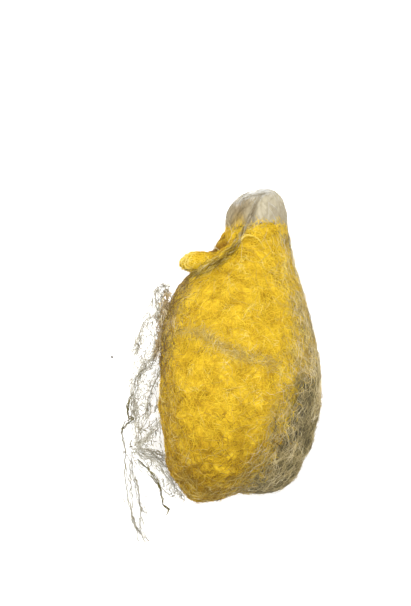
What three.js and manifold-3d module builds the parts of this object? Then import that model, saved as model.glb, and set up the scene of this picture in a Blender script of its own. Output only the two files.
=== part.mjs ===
// A yellow silk cocoon lying on its side, in millimetres.
// +Y runs along the cocoon to its narrow, pouched end, +X to the side where the outer floss is
// deepest, and +Z up. The origin is the middle of the small flat spot that it rests on.
import * as THREE from "three";
import { ImprovedNoise } from "three/addons/math/ImprovedNoise.js";
import { mergeVertices } from "three/addons/utils/BufferGeometryUtils.js";
import Module from "manifold-3d";

const wasm = await Module();
wasm.setup();

// ---- Driving dimensions ----

const GAP = 0.3; // air left between neighbouring pieces
const FLOOR = [80, 80, 10]; // the block below that presses the resting spot flat

// Stations run from the narrow end to the blunt end. Each one holds the left and the right edge seen
// from above, the crown and the keel height, and how much higher the right edge is than the left.
const COCOON_STATIONS = [
  { left: [4.7, 22.0], right: [4.7, 22.0], crown: 6.3, keel: 6.3 },
  { left: [2.4, 21.8], right: [6.9, 21.7], crown: 8.2, keel: 4.2 },
  { left: [0.5, 21.2], right: [7.6, 20.8], crown: 9.5, keel: 3.5 },
  { left: [-1.9, 19.8], right: [7.8, 19.3], crown: 10.8, keel: 3.0 },
  { left: [-3.4, 17.9], right: [8.0, 17.5], crown: 12.2, keel: 2.6 },
  { left: [-5.8, 14.8], right: [8.8, 14.9], crown: 14.0, keel: 2.2 },
  { left: [-8.9, 11.8], right: [9.8, 12.1], crown: 15.9, keel: 1.8 },
  { left: [-10.5, 8.0], right: [10.6, 8.3], crown: 17.4, keel: 1.5 },
  { left: [-11.1, 3.2], right: [10.9, 3.7], crown: 18.6, keel: 1.3 },
  { left: [-11.2, -2.0], right: [10.6, -1.2], crown: 19.3, keel: 1.2 },
  { left: [-11.1, -6.6], right: [9.3, -5.8], crown: 19.3, keel: 1.2 },
  { left: [-10.2, -10.9], right: [6.9, -10.1], crown: 18.3, keel: 1.4 },
  { left: [-8.8, -14.8], right: [3.9, -14.1], crown: 16.0, keel: 2.3 },
  { left: [-6.9, -17.4], right: [0.9, -16.7], crown: 13.0, keel: 4.4 },
  { left: [-5.3, -18.4], right: [-1.3, -18.1], crown: 10.8, keel: 6.4 },
  { left: [-3.5, -18.8], right: [-3.5, -18.8], crown: 8.6, keel: 8.6 },
];
const FLOSS_STATIONS = [
  { left: [4.2, 26.4], right: [4.2, 26.4], crown: 6.4, keel: 6.4 },
  { left: [2.4, 26.0], right: [5.9, 26.2], crown: 7.6, keel: 5.0 },
  { left: [0.6, 24.9], right: [7.2, 24.9], crown: 8.5, keel: 3.9 },
  { left: [-0.4, 23.3], right: [7.6, 23.1], crown: 9.1, keel: 3.0 },
  { left: [-0.7, 21.3], right: [7.9, 21.1], crown: 9.4, keel: 2.2 },
  { left: [-0.6, 19.1], right: [8.1, 19.0], crown: 9.8, keel: 1.5 },
  { left: [-1.6, 16.1], right: [8.7, 16.0], crown: 11.0, keel: 0.8, rise: 0.4 },
  { left: [-4.8, 12.1], right: [10.1, 12.1], crown: 12.9, keel: 0.2, rise: 1.0 },
  { left: [-7.6, 7.8], right: [11.3, 7.8], crown: 14.6, keel: -0.3, rise: 1.8 },
  { left: [-9.4, 3.2], right: [12.2, 3.2], crown: 15.9, keel: -0.7, rise: 2.4 },
  { left: [-10.1, -1.4], right: [12.7, -1.4], crown: 16.6, keel: -0.7, rise: 2.6 },
  { left: [-9.6, -5.9], right: [12.4, -5.8], crown: 16.1, keel: -0.4, rise: 2.4 },
  { left: [-7.9, -9.8], right: [11.5, -9.6], crown: 14.9, keel: 0.1, rise: 2.0 },
  { left: [-5.0, -12.9], right: [10.3, -12.8], crown: 13.2, keel: 1.0, rise: 1.4 },
  { left: [-2.3, -15.2], right: [9.2, -15.0], crown: 11.3, keel: 2.4, rise: 0.8 },
  { left: [0.4, -16.8], right: [7.4, -16.6], crown: 9.4, keel: 4.2 },
  { left: [3.8, -17.6], right: [3.8, -17.6], crown: 6.8, keel: 6.8 },
];
const NET_STATIONS = [
  { left: [-10.6, 12.6], right: [-10.6, 12.6], crown: 8.6, keel: 8.6 },
  { left: [-11.9, 11.2], right: [-7.5, 10.7], crown: 10.4, keel: 7.2, rise: 0.6 },
  { left: [-12.9, 7.5], right: [-8.5, 7.3], crown: 11.2, keel: 6.6, rise: 1.2 },
  { left: [-14.6, 2.3], right: [-9, 2.3], crown: 11.0, keel: 6.0, rise: 2.2 },
  { left: [-15.6, -3.7], right: [-9, -3.3], crown: 10.4, keel: 5.6, rise: 3.0 },
  { left: [-16.1, -8.5], right: [-8.6, -7.9], crown: 9.8, keel: 5.2, rise: 3.4 },
  { left: [-15.6, -13.3], right: [-7.4, -12.7], crown: 9.0, keel: 4.6, rise: 3.6 },
  { left: [-15, -17.7], right: [-7, -16.5], crown: 7.6, keel: 3.8, rise: 3.2 },
  { left: [-14.4, -21.1], right: [-11.2, -19.9], crown: 5.4, keel: 2.8, rise: 1.2 },
  { left: [-13.3, -24.1], right: [-13.3, -24.1], crown: 2.9, keel: 2.9 },
];
// The folded lip of silk by the pouch: a rounded tab that points left, and the rolled fold on it.
const TAB_STATIONS = [
  { left: [1.0, 18.3], right: [1.0, 18.3], crown: 9.6, keel: 9.6 },
  { left: [-0.2, 19.5], right: [0.4, 17.3], crown: 12.1, keel: 8.4 },
  { left: [-2.4, 18.3], right: [-2.0, 15.7], crown: 12.9, keel: 8.6 },
  { left: [-4.2, 17.8], right: [-3.9, 14.9], crown: 12.5, keel: 8.8 },
  { left: [-5.8, 17.3], right: [-5.5, 14.8], crown: 11.9, keel: 9.1 },
  { left: [-7.0, 16.5], right: [-6.8, 15.1], crown: 11.0, keel: 9.6 },
  { left: [-7.4, 15.8], right: [-7.4, 15.8], crown: 10.3, keel: 10.3 },
];
const FOLD_STATIONS = [
  { left: [2.6, 20.9], right: [2.6, 20.9], crown: 9.2, keel: 9.2 },
  { left: [1.3, 20.4], right: [1.9, 19.6], crown: 10.9, keel: 9.3 },
  { left: [-0.3, 19.0], right: [0.4, 18.0], crown: 12.5, keel: 10.4 },
  { left: [-2.3, 17.2], right: [-1.6, 16.1], crown: 13.8, keel: 11.4 },
  { left: [-4.1, 15.9], right: [-3.8, 14.8], crown: 12.9, keel: 10.8 },
  { left: [-5.4, 14.7], right: [-5.4, 14.7], crown: 11.4, keel: 11.4 },
];

// How finely each skin is divided, along it and around it.
const COCOON_MESH = { rings: 46, sides: 44 };
const FLOSS_MESH = { rings: 40, sides: 34 };
const NET_MESH = { rings: 18, sides: 10 };
const LIP_MESH = { rings: 10, sides: 10 };
const FINGER_STEPS = 8;
const FINGER_SIDES = 8;

// Felted lumps: the size of the swellings and how far they stand out.
const COCOON_LUMPS = [
  { size: 5.2, height: 0.5 },
  { size: 2.6, height: 0.28 },
];
const FLOSS_LUMPS = [
  { size: 6.0, height: 0.4 },
  { size: 3.2, height: 0.2 },
];

// The shallow crease across the crown, and the one that runs down the pouch.
const WAIST_CREASE = { path: [[-11, 3.3], [2.2, 0.5], [10, -3.1]], width: 1.3, depth: 0.55 };
const POUCH_CREASE = { path: [[0.8, 19.9], [2.6, 23.1], [4.4, 26.1]], width: 0.7, depth: 0.5 };

// The small dark hollow between the tab and the pouch.
const POCKET = { from: [-3.4, 18.0, 10.6], to: [-0.9, 19.3, 10.3], start: 0.6, end: 0.5 };

// Single strands of the net that reach past its edge.
const FAR_STRAND = { from: [-13.6, 1.3, 8.2], to: [-17.8, 2.5, 6.8], start: 0.5, end: 0.3 };
const LOW_STRAND = { from: [-9.6, -15.7, 7.6], to: [-8.7, -20.2, 5.0], start: 0.6, end: 0.4 };

const noise = new ImprovedNoise();

// ---- Shapes ----

// A closed skin through the stations, with a point at each end. Each vertex is moved outwards by
// relief(point, normal), in millimetres.
function loft(stations, { rings, sides }, relief = () => 0) {
  const mids = ({ crown, keel }) => (crown + keel) / 2;
  const curve = (side) =>
    new THREE.CatmullRomCurve3(stations.map((s) => new THREE.Vector3(...s[side], mids(s))));
  const heights = new THREE.CatmullRomCurve3(
    stations.map((s) => new THREE.Vector3((s.crown - s.keel) / 2, s.rise ?? 0, 0)),
  );
  const leftEdge = curve("left");
  const rightEdge = curve("right");
  const points = [leftEdge.getPoint(0)];
  for (let ring = 1; ring < rings; ring++) {
    const t = (1 - Math.cos((Math.PI * ring) / rings)) / 2;
    const left = leftEdge.getPoint(t);
    const right = rightEdge.getPoint(t);
    const { x: half, y: rise } = heights.getPoint(t);
    const middle = left.clone().add(right).divideScalar(2);
    const across = right.clone().sub(left).divideScalar(2);
    for (let side = 0; side < sides; side++) {
      const angle = (2 * Math.PI * side) / sides;
      const point = middle.clone().addScaledVector(across, Math.cos(angle));
      point.z += half * Math.sin(angle) + (rise / 2) * Math.cos(angle);
      points.push(point);
    }
  }
  points.push(leftEdge.getPoint(1));

  const last = points.length - 1;
  const at = (ring, side) => 1 + (ring - 1) * sides + (side % sides);
  const faces = [];
  for (let side = 0; side < sides; side++) {
    faces.push(0, at(1, side + 1), at(1, side));
    faces.push(last, at(rings - 1, side), at(rings - 1, side + 1));
    for (let ring = 1; ring < rings - 1; ring++) {
      faces.push(at(ring, side), at(ring + 1, side + 1), at(ring + 1, side));
      faces.push(at(ring, side), at(ring, side + 1), at(ring + 1, side + 1));
    }
  }
  const geometry = new THREE.BufferGeometry().setFromPoints(points).setIndex(faces);
  geometry.computeVertexNormals();
  const { position, normal } = geometry.attributes;
  for (let i = 0; i < position.count; i++) {
    const point = new THREE.Vector3().fromBufferAttribute(position, i);
    const outward = new THREE.Vector3().fromBufferAttribute(normal, i);
    point.addScaledVector(outward, relief(point, outward));
    position.setXYZ(i, point.x, point.y, point.z);
  }
  return geometry;
}

// A rounded finger from one point to another, with its own thickness near each end.
function finger({ from, to, start, end }) {
  const foot = new THREE.Vector3(...from);
  const tip = new THREE.Vector3(...to);
  const way = tip.clone().sub(foot);
  const profile = [];
  for (let step = 0; step <= FINGER_STEPS; step++) {
    const turn = (Math.PI * step) / FINGER_STEPS;
    const share = (1 - Math.cos(turn)) / 2;
    const radius = THREE.MathUtils.lerp(start, end, share);
    const y = (share - 0.5) * way.length();
    const full = step % FINGER_STEPS ? Math.sqrt(Math.sin(turn)) : 0;
    profile.push(new THREE.Vector2(radius * full, y));
  }
  const upright = new THREE.Vector3(0, 1, 0);
  const turned = new THREE.Quaternion().setFromUnitVectors(upright, way.clone().normalize());
  const middle = foot.add(tip).divideScalar(2);
  const round = new THREE.LatheGeometry(profile, FINGER_SIDES);
  return round.applyQuaternion(turned).translate(...middle);
}

// ---- Relief ----

const lumps = (point, list) =>
  list.reduce((sum, { size, height }) => {
    const { x, y, z } = point.clone().divideScalar(size);
    return sum + height * noise.noise(x, y, z);
  }, 0);

// How deep a crease is at a point of the upper face, from 0 beside it to its full depth.
function creased({ path, width, depth }, point, normal) {
  const place = new THREE.Vector3(point.x, point.y, 0);
  const nearest = new THREE.Vector3();
  let distance = Infinity;
  for (let i = 1; i < path.length; i++) {
    const ends = [path[i - 1], path[i]].map(([x, y]) => new THREE.Vector3(x, y, 0));
    new THREE.Line3(...ends).closestPointToPoint(place, true, nearest);
    distance = Math.min(distance, nearest.distanceTo(place));
  }
  return depth * Math.exp(-((distance / width) ** 2)) * Math.max(0, normal.z);
}

const cocoonRelief = (grown) => (point, normal) =>
  grown + lumps(point, COCOON_LUMPS) - creased(WAIST_CREASE, point, normal);
const lipRelief = (grown) => (point) => grown + lumps(point, COCOON_LUMPS) / 2;
const flossRelief = (grown) => (point, normal) =>
  grown + lumps(point, FLOSS_LUMPS) - creased(POUCH_CREASE, point, normal);

// ---- Solids ----

function solid(geometry) {
  const bare = geometry.clone();
  bare.deleteAttribute("normal");
  bare.deleteAttribute("uv");
  const merged = mergeVertices(bare, 1e-4);
  return new wasm.Manifold(
    new wasm.Mesh({
      numProp: 3,
      vertProperties: merged.attributes.position.array,
      triVerts: new Uint32Array(merged.index.array),
    }),
  );
}

const largest = (made) => made.decompose().sort((a, b) => b.volume() - a.volume())[0];

// The dense yellow cocoon with its folded lip, in one piece. grown swells it evenly.
function cocoonSolid(grown = 0) {
  const body = solid(loft(COCOON_STATIONS, COCOON_MESH, cocoonRelief(grown)));
  const tab = solid(loft(TAB_STATIONS, LIP_MESH, lipRelief(grown)));
  const fold = solid(loft(FOLD_STATIONS, LIP_MESH, lipRelief(grown)));
  return body.add(tab).add(fold);
}

const flossSolid = (grown = 0) => solid(loft(FLOSS_STATIONS, FLOSS_MESH, flossRelief(grown)));

function innerCocoon() {
  return largest(cocoonSolid().subtract(solid(finger(POCKET))));
}

// The loose outer floss, open on the upper left where the cocoon stands out of it.
function outerFloss() {
  const floor = new THREE.BoxGeometry(...FLOOR).translate(0, 0, -FLOOR[2] / 2);
  return largest(flossSolid().subtract(solid(floor)).subtract(cocoonSolid(GAP)));
}

// The scaffold threads on the left flank, as the form that they fill.
function scaffoldNet() {
  const web = solid(loft(NET_STATIONS, NET_MESH));
  const strands = solid(finger(FAR_STRAND)).add(solid(finger(LOW_STRAND)));
  return largest(web.add(strands).subtract(cocoonSolid(GAP)).subtract(flossSolid(GAP)));
}

// ---- Scene graph ----

function piece(name, made, colour, roughness) {
  const { vertProperties, numProp, triVerts } = made.getMesh();
  const positions = new Float32Array((vertProperties.length / numProp) * 3);
  for (let i = 0; i < positions.length / 3; i++)
    positions.set(vertProperties.subarray(i * numProp, i * numProp + 3), i * 3);
  const geometry = new THREE.BufferGeometry()
    .setAttribute("position", new THREE.BufferAttribute(positions, 3))
    .setIndex(new THREE.BufferAttribute(triVerts, 1));
  const faceted = geometry.toNonIndexed();
  faceted.computeVertexNormals();
  const material = new THREE.MeshStandardMaterial({ color: colour, roughness, metalness: 0 });
  const mesh = new THREE.Mesh(faceted, material);
  mesh.name = name;
  return mesh;
}

const cocoon = new THREE.Group();
cocoon.name = "silk_cocoon";
cocoon.add(piece("inner_cocoon", innerCocoon(), 0xdcab2a, 0.75));
cocoon.add(piece("outer_floss", outerFloss(), 0x94876a, 0.85));
cocoon.add(piece("scaffold_net", scaffoldNet(), 0xb9b2a0, 0.85));

export default cocoon;
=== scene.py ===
"""Dresses a silk cocoon: felted yellow silk, grey outer floss with its pouch, and a net of loose threads."""

import math
import random

import bmesh
import bpy
import numpy as np
from bpy.props import FloatProperty, FloatVectorProperty, IntProperty, PointerProperty
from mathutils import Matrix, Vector, geometry, kdtree, noise
from mathutils.bvhtree import BVHTree


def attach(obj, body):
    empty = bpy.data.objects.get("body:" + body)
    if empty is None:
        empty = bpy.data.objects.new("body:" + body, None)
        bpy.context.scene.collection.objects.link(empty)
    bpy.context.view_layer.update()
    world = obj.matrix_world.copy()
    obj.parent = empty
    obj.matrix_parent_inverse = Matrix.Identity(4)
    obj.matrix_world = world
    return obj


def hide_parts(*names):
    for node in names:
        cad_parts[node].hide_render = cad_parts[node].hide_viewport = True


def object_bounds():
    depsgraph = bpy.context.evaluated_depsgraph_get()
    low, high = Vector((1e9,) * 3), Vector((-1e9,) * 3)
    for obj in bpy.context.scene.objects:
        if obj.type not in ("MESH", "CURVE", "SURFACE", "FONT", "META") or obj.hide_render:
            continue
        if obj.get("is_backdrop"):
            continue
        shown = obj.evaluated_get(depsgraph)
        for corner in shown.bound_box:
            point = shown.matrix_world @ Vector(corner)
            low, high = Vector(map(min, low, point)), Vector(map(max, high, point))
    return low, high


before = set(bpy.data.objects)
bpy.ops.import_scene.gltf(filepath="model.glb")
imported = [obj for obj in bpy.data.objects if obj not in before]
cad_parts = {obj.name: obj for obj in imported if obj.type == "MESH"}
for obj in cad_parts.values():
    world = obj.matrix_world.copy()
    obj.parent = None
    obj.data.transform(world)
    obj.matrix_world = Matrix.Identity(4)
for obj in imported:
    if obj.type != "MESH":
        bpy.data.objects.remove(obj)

bl_info = {
    "name": "Silk Cocoon",
    "version": (1, 0, 0),
    "blender": (4, 5, 0),
    "location": "3D View > Sidebar > Cocoon",
    "description": "Builds a silk cocoon with its floss, its net of threads and a plain studio",
    "category": "Add Mesh",
}

# ---------------------------------------------------------------- the frame

CAD_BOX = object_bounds()
BODY = "root"
MM = 0.001

# Heights that rays start from, and about half the height of the body and of the net.
UNDER_ALL = -0.01
OVER_ALL = 0.05
BODY_MIDDLE = 9 * MM
NET_MIDDLE = 7 * MM

FELT = "silk_felt"
FLOSS = "floss_felt"
NET_NODE = "scaffold_net"

# ---------------------------------------------------------------- places, in millimetres seen from above

WAIST_BAND = [(-9.8, 6.4), (-7.0, 6.3), (-4.6, 5.9), (-3.0, 5.0), (-1.4, 3.8), (0.8, 2.9), (3.0, 2.4),
              (6.0, 1.8)]
FILM_EDGE = [(-7.4, 13.2), (-8.5, 11.0), (-9.2, 8.4), (-9.9, 5.8), (-10.6, 3.0), (-11.0, 0.6)]
LEFT_RIM = [(-10.3, 9.4), (-11.0, 4.2), (-11.1, 0.5), (-11.2, -3.0), (-11.0, -6.5), (-10.4, -9.5)]
RIGHT_VEIL = [(8.6, 16.0), (9.3, 11.0), (9.9, 6.0), (9.6, 2.0)]
RIGHT_EDGE = [(9.6, 10.2), (10.6, 7.6), (11.0, 4.8), (10.7, 2.0), (9.9, -0.6), (9.3, -3.4)]
LOW_VEIL = [(8.0, -3.0), (6.6, -9.0), (3.6, -14.0), (0.6, -16.6)]
SHADED_FLANK = [(-10.4, 0.0), (-10.2, -7.0), (-8.4, -13.0), (-5.6, -16.8), (-1.5, -17.6)]
# The crown takes painted light, and the belly is made lighter too.
BRIGHT_CROWN = [(3.4, 19.6), (1.6, 14.0), (2.4, 8.0), (5.0, 4.0)]
BRIGHT_BELLY = [(-6.0, -0.6), (0.0, -2.0), (4.6, -5.0)]
ARC = [(1.0, 19.2), (1.4, 19.7), (2.3, 19.9), (3.3, 19.6), (4.1, 18.8), (4.5, 17.8)]
FOLD_LINE = [(3.4, 24.3), (2.6, 22.8), (1.7, 21.0), (0.9, 19.7), (0.1, 18.4), (-0.8, 17.3), (-1.8, 16.4),
             (-3.0, 15.7), (-4.2, 15.0), (-5.4, 14.2), (-6.6, 13.4)]
POUCH_RIM = [(0.6, 24.7), (1.4, 25.4), (2.3, 25.8), (3.4, 26.0), (4.6, 26.2), (5.4, 26.3)]
POUCH_TAN = [(0.2, 21.6), (0.9, 23.2), (1.6, 24.6)]
POUCH_CREASE = [(4.4, 26.1), (3.2, 24.0), (2.6, 22.6), (2.2, 21.4)]
POUCH_YELLOW = [(0.2, 21.2), (1.2, 22.0), (0.0, 20.4)]
POUCH_START = 20.6
GREY_SPOTS = [(2.4, 21.8), (7.6, 19.1)]
DARK_BLOBS = [(7.5, -9.6), (9.2, -8.2), (8.2, -13.4), (7.0, -14.4), (9.1, -3.7), (9.8, -1.6), (8.5, -6.6),
              (10.2, -5.4)]
TAB_TIP = [(-7.3, 16.0), (-6.2, 16.2)]
POCKET = [(-2.9, 18.1), (-1.4, 18.9)]

# From where to where along the cocoon something sets in or ends.
POUCH_SWELL = (18.0, 24.0)
POUCH_WALL = (POUCH_START - 1.2, POUCH_START + 0.6)
POUCH_FIBRES = (19.5, 21.5)
SEAM_START = (18.5, 20.0)
FLOSS_END = (19.0, 21.5)
# Painted shade: the floss's fibres are darker towards the bottom, where less light falls, and grow lighter
# from here upwards.
FLOSS_PAINTED_LIGHT = (-9.0, 0.0)
FRINGE_END = (-4.0, 6.0)
# Painted shade: the yellow fibres darken towards the blunt end, where less light falls.
BLUNT_END_SHADE = (-5.0, -16.0)

# From which height over the floor a felt is free to swell, and fibres lie on it.
FREE = (0.1, 1.2)
CLEAR = (0.5, 1.4)
FLOSS_CLEAR = (0.7, 1.6)

# What follows paths: how strong it is, along which path and how wide.
SILK_VEIL = [(0.8, WAIST_BAND, 0.8), (1.0, FILM_EDGE, 1.6), (0.7, LEFT_RIM, 0.9), (0.22, SHADED_FLANK, 2.4),
             (0.4, RIGHT_VEIL, 1.8), (0.42, LOW_VEIL, 2.2), (0.9, RIGHT_EDGE, 1.1)]
# Painted shade on the yellow silk: along its shaded flank and in the pocket.
SILK_PAINTED_SHADE = [(0.5, SHADED_FLANK, 2.6), (1.1, POCKET, 0.8)]
# Tones of the yellow fibres: painted light on the crown, lighter on the belly, the tab partly its own cream
# colour and partly a painted highlight, painted shade in the pocket, and the paler veil on the right.
SILK_PAINTED_LIGHT_AND_VEIL = [(0.12, BRIGHT_CROWN, 5.0), (0.08, BRIGHT_BELLY, 4.0), (0.3, TAB_TIP, 1.7), (-0.5, POCKET, 0.9),
              (0.2, RIGHT_VEIL, 2.2)]
POUCH_LIGHT = [(-0.42, POUCH_TAN, 1.3), (0.4, POUCH_RIM, 0.6)]
FLOSS_ZONES = {
    "tan": [(1.0, POUCH_TAN, 1.5)],
    "yellowed": [(0.8, POUCH_YELLOW, 0.8)],
    "rim": [(1.0, POUCH_RIM, 0.5)],
    "yellowing": [(0.85, RIGHT_VEIL, 1.7)],
}

NET_OUTLINE = [(-10.8, 12.6), (-12.1, 10.6), (-13.2, 7.5), (-14.0, 4.2), (-15.0, 0.3), (-15.4, -3.7),
               (-15.2, -8.1), (-15.1, -11.7), (-14.2, -13.8), (-11.9, -15.5), (-9.8, -17.4), (-7.9, -19.0),
               (-5.9, -19.0), (-8.3, -15.2), (-9.8, -11.7), (-10.8, -8.1), (-10.9, -3.7), (-10.4, 0.3),
               (-10.1, 4.2), (-9.6, 8.5), (-9.6, 11.8)]
NET_FILM = [(-9.3, 11.6), (-9.7, 9.8), (-10.2, 8.4), (-10.3, 6.6), (-10.5, 4.6), (-10.9, 2.6)]
FILM_HEIGHTS = (8.8, 10.6)
FILM_GLINT = [(-8.8, 7.1), (-7.9, 7.8)]
NET_TANGLE = [(-10.6, 10.0), (-11.4, 5.4), (-13.2, 0.0), (-13.4, -8.4), (-12.4, -11.6), (-10.4, -13.6),
              (-8.8, -17.0)]

# Threads of the net that are followed one by one.
PALE_THREADS = [
    [(-10.9, 10.1), (-11.1, 11.4), (-10.6, 12.4), (-9.8, 12.5), (-9.6, 11.6), (-10.4, 11.1), (-10.1, 10.1)],
    [(-10.1, 10.2), (-10.8, 8.5), (-12.2, 7.8), (-13.3, 5.9), (-13.8, 4.3), (-14.4, 3.2)],
    [(-10.8, 10.2), (-10.6, 8.3), (-9.9, 6.2)],
    [(-10.7, 6.6), (-11.1, 4.0), (-11.5, 2.3), (-12.8, 1.7), (-13.1, 0.3), (-14.2, -1.2), (-14.4, -3.0)],
    [(-14.4, -3.0), (-14.2, -4.2), (-14.0, -5.0), (-13.8, -6.6), (-13.8, -8.3), (-13.8, -10.4)],
    [(-11.2, 3.0), (-12.2, 1.1), (-13.4, 0.0), (-14.1, -2.6), (-14.2, -4.3), (-14.5, -6.3), (-15.7, -7.5)],
    [(-14.2, -10.6), (-12.4, -11.2), (-10.8, -11.7), (-9.5, -12.1)],
    [(-14.2, -10.8), (-12.9, -11.9), (-11.4, -12.3), (-9.3, -13.3)],
    [(-10.4, 0.6), (-11.6, -1.4), (-12.2, -3.4), (-12.4, -6.0), (-13.6, -8.4)],
    [(-10.4, -6.6), (-11.6, -8.2), (-12.8, -9.6), (-14.0, -10.4)],
    [(-12.0, -11.6), (-10.8, -13.1), (-10.0, -14.0), (-9.1, -15.0), (-8.6, -16.6), (-7.4, -17.9)],
]
HANGING_THREADS = [
    [(-16.0, -9.2), (-15.1, -12.4), (-14.8, -15.2), (-14.7, -18.1), (-14.5, -21.0), (-13.8, -22.9),
     (-12.8, -24.1)],
    [(-14.4, -11.7), (-14.4, -14.7), (-13.8, -18.1), (-12.9, -20.4), (-12.4, -21.1)],
    [(-16.1, -8.4), (-15.6, -11.8), (-15.4, -15.0), (-15.1, -18.6), (-14.3, -21.8)],
    [(-14.0, -15.2), (-13.6, -18.6), (-13.4, -21.0), (-13.4, -23.2)],
    [(-14.5, -20.8), (-14.1, -22.4), (-13.4, -23.5), (-12.4, -24.5)],
]
FAINT_THREADS = [
    [(-17.5, 2.4), (-16.6, 1.0), (-15.6, -0.6), (-14.6, -1.6)],
    [(-13.6, 5.6), (-14.6, 3.4), (-15.2, 0.6), (-15.3, -1.8)],
    [(-13.0, 8.4), (-14.8, 5.4), (-15.6, 2.2), (-15.4, -0.4)],
]
OLIVE_THREADS = [
    [(-14.4, -3.0), (-15.0, -4.0), (-15.2, -4.8), (-15.1, -6.3), (-14.5, -6.6), (-15.8, -7.6), (-16.1, -8.5)],
    [(-13.7, -12.5), (-12.3, -13.7), (-11.0, -15.4), (-10.5, -16.7), (-10.3, -17.9), (-10.0, -19.0),
     (-9.2, -19.6)],
    [(-10.0, -19.0), (-9.3, -19.7), (-9.5, -20.5)],
]
CRUMBS = [
    {"at": (-9.9, 11.8), "size": 0.42},
    {"at": (-13.8, 4.3), "size": 0.36},
    {"at": (-14.7, -10.6), "size": 0.34},
    {"at": (-8.9, -17.4), "size": 0.2},
    {"at": (-12.6, -17.9), "size": 0.2},
    {"at": (-17.5, 2.4), "size": 0.38},
    {"at": (-15.9, -7.9), "size": 0.3},
]

# ---------------------------------------------------------------- colours of the silk, dark to light

SILK_SHADES = {
    "silk_shadow": (0.28, 0.155, 0.012),
    "silk_old_gold": (0.50, 0.303, 0.018),
    "silk_gold": (0.65, 0.432, 0.024),
    "silk_yellow": (0.76, 0.540, 0.038),
    "silk_glint": (0.82, 0.650, 0.140),
}
VEIL_SHADES = {
    "veil_brown": (0.22, 0.130, 0.030),
    "veil_tan": (0.34, 0.220, 0.054),
    "veil_beige": (0.46, 0.320, 0.072),
    "veil_cream": (0.58, 0.430, 0.115),
    "veil_pale": (0.70, 0.560, 0.205),
}
FILM_SHADES = {
    "film_umber": (0.17, 0.105, 0.035),
    "film_brown": (0.28, 0.195, 0.085),
    "film_tan": (0.41, 0.300, 0.150),
    "film_beige": (0.53, 0.410, 0.225),
    "film_cream": (0.72, 0.610, 0.360),
}
FLOSS_SHADES = {
    "floss_dark": (0.085, 0.070, 0.035),
    "floss_olive": (0.19, 0.155, 0.066),
    "floss_khaki": (0.34, 0.27, 0.120),
    "floss_beige": (0.52, 0.415, 0.200),
    "floss_pale": (0.72, 0.605, 0.350),
}
FOLD_SHADES = {
    "fold_brown": (0.14, 0.085, 0.012),
    "fold_olive": (0.27, 0.18, 0.025),
    "fold_gold": (0.45, 0.30, 0.03),
    "fold_straw": (0.56, 0.42, 0.10),
    "fold_cream": (0.68, 0.57, 0.28),
}
POUCH_SHADES = {
    "pouch_brown": (0.19, 0.14, 0.07),
    "pouch_tan": (0.28, 0.22, 0.125),
    "pouch_beige": (0.37, 0.31, 0.205),
    "pouch_cream": (0.46, 0.41, 0.30),
    "pouch_white": (0.65, 0.64, 0.60),
}
NET_SHADES = {
    "net_umber": (0.130, 0.113, 0.066),
    "net_taupe": (0.24, 0.213, 0.140),
    "net_grey": (0.38, 0.347, 0.258),
    "net_silver": (0.55, 0.515, 0.420),
    "net_white": (0.73, 0.705, 0.620),
}
TWIG_SHADES = {
    "twig_black": (0.060, 0.050, 0.020),
    "twig_umber": (0.110, 0.092, 0.034),
    "twig_olive": (0.170, 0.145, 0.058),
    "twig_moss": (0.240, 0.212, 0.096),
    "twig_straw": (0.340, 0.300, 0.170),
}
SHADE_COUNT = 5

# ---------------------------------------------------------------- kinds of fibres and threads

# Fibres on the skin: how many to a square metre, their thickness in shares of the set one, their length,
# waviness, wave size and lift in millimetres, the points to a fibre, and the seed.
FIBRES = {
    "silk_strands_deep": (3.9e6, 1.2, 2.6, 0.7, 1.1, 0.22, 6, 7),
    "silk_strands_fine": (4.3e6, 0.75, 1.9, 0.5, 0.8, 0.35, 6, 21),
    "silk_strands_soft": (2.9e6, 0.55, 1.5, 0.5, 0.6, 0.5, 6, 23),
    "veil_strands": (9.0e6, 0.75, 3.6, 0.9, 1.2, 0.5, 8, 31),
    "film_strands": (7.0e6, 0.9, 2.4, 0.7, 1.0, 0.5, 7, 33),
    "floss_strands_deep": (3.6e6, 1.05, 4.2, 0.9, 1.9, 0.35, 7, 41),
    "floss_strands_fine": (4.2e6, 0.7, 2.8, 0.7, 1.3, 0.6, 7, 51),
    "pouch_strands": (4.0e6, 0.6, 3.6, 0.5, 1.8, 0.25, 8, 61),
    "seam_strands": (1.6e7, 1.2, 2.4, 0.5, 0.8, 0.2, 6, 71),
    "seam_ends": (1.6e7, 1.2, 1.0, 0.5, 0.8, 0.2, 6, 81),
}

# Loose threads: their step, jitter and jitter size in millimetres, how far their tone spreads, and the seed.
LACE = (0.3, 0.5, 0.9, 0.8, 3)
MAIN_STRANDS = (0.22, 0.42, 0.6, 1.2, 9)
FOLDED_STRANDS = (0.35, 0.12, 0.9, 0.6, 2)

# Short wisps along the net's strands and along its film, and the steps along one from its middle.
NET_WISPS = 520
FILM_WISPS = 320
WISP = (-0.5, 0, 0.5)

# The net's cells: the box that they fall in, how often one is tried, how much they are squeezed across and
# upwards, their sizes in shares of the set one, and the longest border in cells.
CELL_BOX = ((-16, -20), (-5, 13))
CELL_TRIES = 4000
CELL_SQUEEZE = (1.3, 0.8)
CELL_SIZES = (0.2, 1.4)
LONGEST_BORDER = 2.6
TANGLE_LAYERS = 2

# How the strands of the fold weave: a step aside, and the turn between two points.
ACROSS_FOLD = (0.6, -0.7)
FOLD_TURN = 1.7
CRUMB_FLATNESS = 0.7

# ---------------------------------------------------------------- settings


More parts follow.
